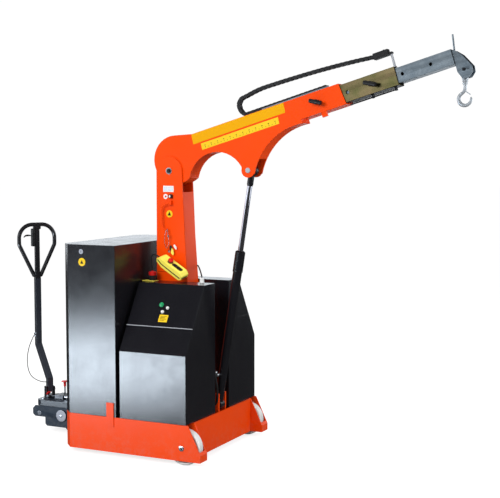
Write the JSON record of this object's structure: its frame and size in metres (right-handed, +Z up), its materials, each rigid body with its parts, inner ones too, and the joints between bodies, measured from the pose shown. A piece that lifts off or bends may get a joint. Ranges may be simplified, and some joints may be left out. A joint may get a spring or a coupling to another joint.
{
  "type": "counterbalanced floor crane",
  "caption": "Mobile counterbalanced floor crane: box base on wheels, mast, hydraulic luffing telescopic boom with swivel hook, steered rear drive unit, tiller and hand control.",
  "frame": {"origin": "on the floor below the middle of the bounding box", "axes": "+X towards the hook, along the boom; +Y to the left seen from the tiller; +Z up"},
  "size_m": [2.8883, 0.8856, 2.3082],
  "materials": {
    "orange_paint": "gloss powder coat",
    "black_paint": "semi-gloss powder coat",
    "grey_paint": "satin paint",
    "slate_paint": "satin paint",
    "bare_steel": "bright steel",
    "dark_steel": "blackened steel",
    "zinc": "zinc plated",
    "olive_zinc": "yellow-olive chromated zinc",
    "chrome": "hard chrome",
    "iron": "cast",
    "power_unit": "painted",
    "black_plastic": "matt",
    "yellow_plastic": "satin",
    "red_plastic": "gloss",
    "white_nylon": "cast nylon",
    "black_rubber": "matt"
  },
  "bodies": {
    "chassis": {"base_frame": "orange_paint", "mast_column": "orange_paint", "mast_pivot_pin": "dark_steel", "rear_cover": "black_paint", "counterweight_1": "iron", "counterweight_2": "iron", "battery_pack": "black_plastic", "near_cover": "black_paint", "near_cover_lid": "black_paint", "far_cover": "black_paint", "far_cover_lid": "black_paint", "hydraulic_unit": "power_unit", "charger_box": "black_plastic", "pendant_hanger": "orange_paint", "pendant_socket": "red_plastic", "cylinder_foot_bracket": "orange_paint", "front_axle_near": "bare_steel", "front_axle_far": "bare_steel", "drive_housing": "slate_paint", "rear_mount_plate": "grey_paint", "lift_valve": "dark_steel", "pendant_case": "yellow_plastic", "pendant_cable": "black_rubber"},
    "boom": {"boom_outer": "orange_paint", "cylinder_head_pin": "dark_steel", "chain_tray": "bare_steel", "chain_fixed_run": "black_plastic"},
    "middle": {"boom_middle": "olive_zinc", "middle_guide_rod": "bare_steel", "chain_moving_run": "black_plastic", "chain_bracket": "black_plastic"},
    "chain_loop": {"chain_bend": "black_plastic"},
    "inner": {"boom_inner": "zinc", "tip_bracket": "zinc"},
    "boom_clamp": {"boom_lock": "black_plastic"},
    "middle_clamp": {"middle_lock": "black_plastic"},
    "shackle": {"hook_shackle": "bare_steel"},
    "hook": {"load_hook": "bare_steel"},
    "latch": {"hook_latch": "zinc"},
    "ram_rod": {"cylinder_rod": "chrome"},
    "ram_barrel": {"cylinder_barrel": "black_paint"},
    "near_wheel": {"front_wheel_near": "white_nylon"},
    "far_wheel": {"front_wheel_far": "white_nylon"},
    "fork": {"steer_fork": "dark_steel"},
    "rear_wheel": {"drive_wheel": "black_rubber"},
    "yoke": {"tiller_yoke": "dark_steel"},
    "tiller": {"tiller_arm": "slate_paint", "tiller_loop": "black_plastic", "lever_housing": "black_plastic", "brake_cable": "black_rubber"},
    "lever": {"hand_lever": "black_plastic"},
    "release_knob": {"brake_release_knob": "red_plastic"},
    "switch_a": {"panel_switch_a": "bare_steel"},
    "switch_b": {"panel_switch_b": "bare_steel"},
    "stop_button": {"pendant_stop": "red_plastic"},
    "key_1": {"pendant_key_1": "black_plastic"},
    "key_2": {"pendant_key_2": "black_plastic"},
    "key_3": {"pendant_key_3": "black_plastic"}
  },
  "joints": [
    {"name": "boom_luff", "type": "hinge", "parent": "chassis", "child": "boom", "pos_m": [-0.3056, 0, 1.601], "axis": [0, -1, 0], "range_deg": [-28, 30]},
    {"name": "ram_head_pivot", "type": "hinge", "parent": "boom", "child": "ram_rod", "pos_m": [0.19107, 0, 1.60645], "axis": [0, -1, 0], "range_deg": [-29, 27]},
    {"name": "ram_slide", "type": "slide", "parent": "ram_rod", "child": "ram_barrel", "axis": [-0.1574, 0, -0.9875], "range_m": [-0.24, 0.26]},
    {"name": "middle_slide", "type": "slide", "parent": "boom", "child": "middle", "axis": [0.9593, 0, 0.2823], "range_m": [-0.13, 0.15], "deforming": ["chain_fixed_run", "chain_moving_run"]},
    {"name": "chain_loop_slide", "type": "slide", "parent": "boom", "child": "chain_loop", "axis": [0.9593, 0, 0.2823], "range_m": [-0.066, 0.076]},
    {"name": "inner_slide", "type": "slide", "parent": "middle", "child": "inner", "axis": [0.9593, 0, 0.2823], "range_m": [-0.29, 0.12]},
    {"name": "boom_clamp_turn", "type": "hinge", "parent": "boom", "child": "boom_clamp", "pos_m": [0.60793, -0.0563, 1.97515], "axis": [0, -1, 0], "range_deg": [0, 180]},
    {"name": "middle_clamp_turn", "type": "hinge", "parent": "middle", "child": "middle_clamp", "pos_m": [0.91107, -0.0483, 2.06437], "axis": [0, -1, 0], "range_deg": [0, 180]},
    {"name": "hook_swing", "type": "hinge", "parent": "inner", "child": "shackle", "pos_m": [1.39737, 0, 2.12702], "axis": [0, -1, 0], "range_deg": [-60, 60]},
    {"name": "hook_swivel", "type": "hinge", "parent": "shackle", "child": "hook", "pos_m": [1.39737, 0, 2.06702], "axis": [0, 0, 1], "continuous": true},
    {"name": "latch_hinge", "type": "hinge", "parent": "hook", "child": "latch", "pos_m": [1.40337, 0, 2.01502], "axis": [0, 1, 0], "range_deg": [0, 35], "stiffness_Nm_per_rad": 0.02},
    {"name": "near_wheel_roll", "type": "hinge", "parent": "chassis", "child": "near_wheel", "pos_m": [-0.0266, -0.39, 0.1], "axis": [0, 1, 0], "continuous": true},
    {"name": "far_wheel_roll", "type": "hinge", "parent": "chassis", "child": "far_wheel", "pos_m": [-0.0266, 0.39, 0.1], "axis": [0, 1, 0], "continuous": true},
    {"name": "tiller_steer", "type": "hinge", "parent": "chassis", "child": "yoke", "pos_m": [-1.2016, 0, 0.2], "axis": [0, 0, 1], "range_deg": [-55, 125]},
    {"name": "fork_steer", "type": "hinge", "parent": "chassis", "child": "fork", "pos_m": [-1.0416, 0, 0.15], "axis": [0, 0, 1], "range_deg": [-55, 125]},
    {"name": "rear_wheel_roll", "type": "hinge", "parent": "fork", "child": "rear_wheel", "pos_m": [-1.0416, 0, 0.07], "axis": [0.5736, 0.8192, 0], "continuous": true},
    {"name": "tiller_tilt", "type": "hinge", "parent": "yoke", "child": "tiller", "pos_m": [-1.2016, 0, 0.245], "axis": [-0.5736, -0.8192, 0], "range_deg": [0, 60], "stiffness_Nm_per_rad": 8, "springref_deg": -85.94},
    {"name": "lever_squeeze", "type": "hinge", "parent": "tiller", "child": "lever", "pos_m": [-1.38751, 0.08318, 1.188], "axis": [-0.8192, 0.5736, 0], "range_deg": [0, 16], "stiffness_Nm_per_rad": 0.3, "springref_deg": -11.46},
    {"name": "knob_push", "type": "slide", "parent": "chassis", "child": "release_knob", "axis": [0, 0, -1], "range_m": [0, 0.006], "stiffness_N_per_m": 600, "springref_m": -0.002},
    {"name": "switch_a_turn", "type": "hinge", "parent": "chassis", "child": "switch_a", "pos_m": [-0.1876, -0.29405, 0.843], "axis": [0, -0.8568, 0.5157], "range_deg": [-45, 45]},
    {"name": "switch_b_turn", "type": "hinge", "parent": "chassis", "child": "switch_b", "pos_m": [-0.2136, -0.30669, 0.822], "axis": [0, -0.8568, 0.5157], "range_deg": [-45, 45]},
    {"name": "stop_push", "type": "slide", "parent": "chassis", "child": "stop_button", "axis": [-0.4382, 0.3484, -0.8286], "range_m": [0, 0.004], "stiffness_N_per_m": 500, "springref_m": -0.002},
    {"name": "key_1_push", "type": "slide", "parent": "chassis", "child": "key_1", "axis": [-0.4382, 0.3484, -0.8286], "range_m": [0, 0.003], "stiffness_N_per_m": 400, "springref_m": -0.001},
    {"name": "key_2_push", "type": "slide", "parent": "chassis", "child": "key_2", "axis": [-0.4382, 0.3484, -0.8286], "range_m": [0, 0.003], "stiffness_N_per_m": 400, "springref_m": -0.001},
    {"name": "key_3_push", "type": "slide", "parent": "chassis", "child": "key_3", "axis": [-0.4382, 0.3484, -0.8286], "range_m": [0, 0.003], "stiffness_N_per_m": 400, "springref_m": -0.001}
  ],
  "couplings": [
    {"joint": "ram_head_pivot", "follows": "boom_luff", "ratio": -0.935},
    {"joint": "ram_slide", "follows": "boom_luff", "m_per_rad": 0.474},
    {"joint": "chain_loop_slide", "follows": "middle_slide", "ratio": 0.5},
    {"joint": "fork_steer", "follows": "tiller_steer", "ratio": 1}
  ]
}
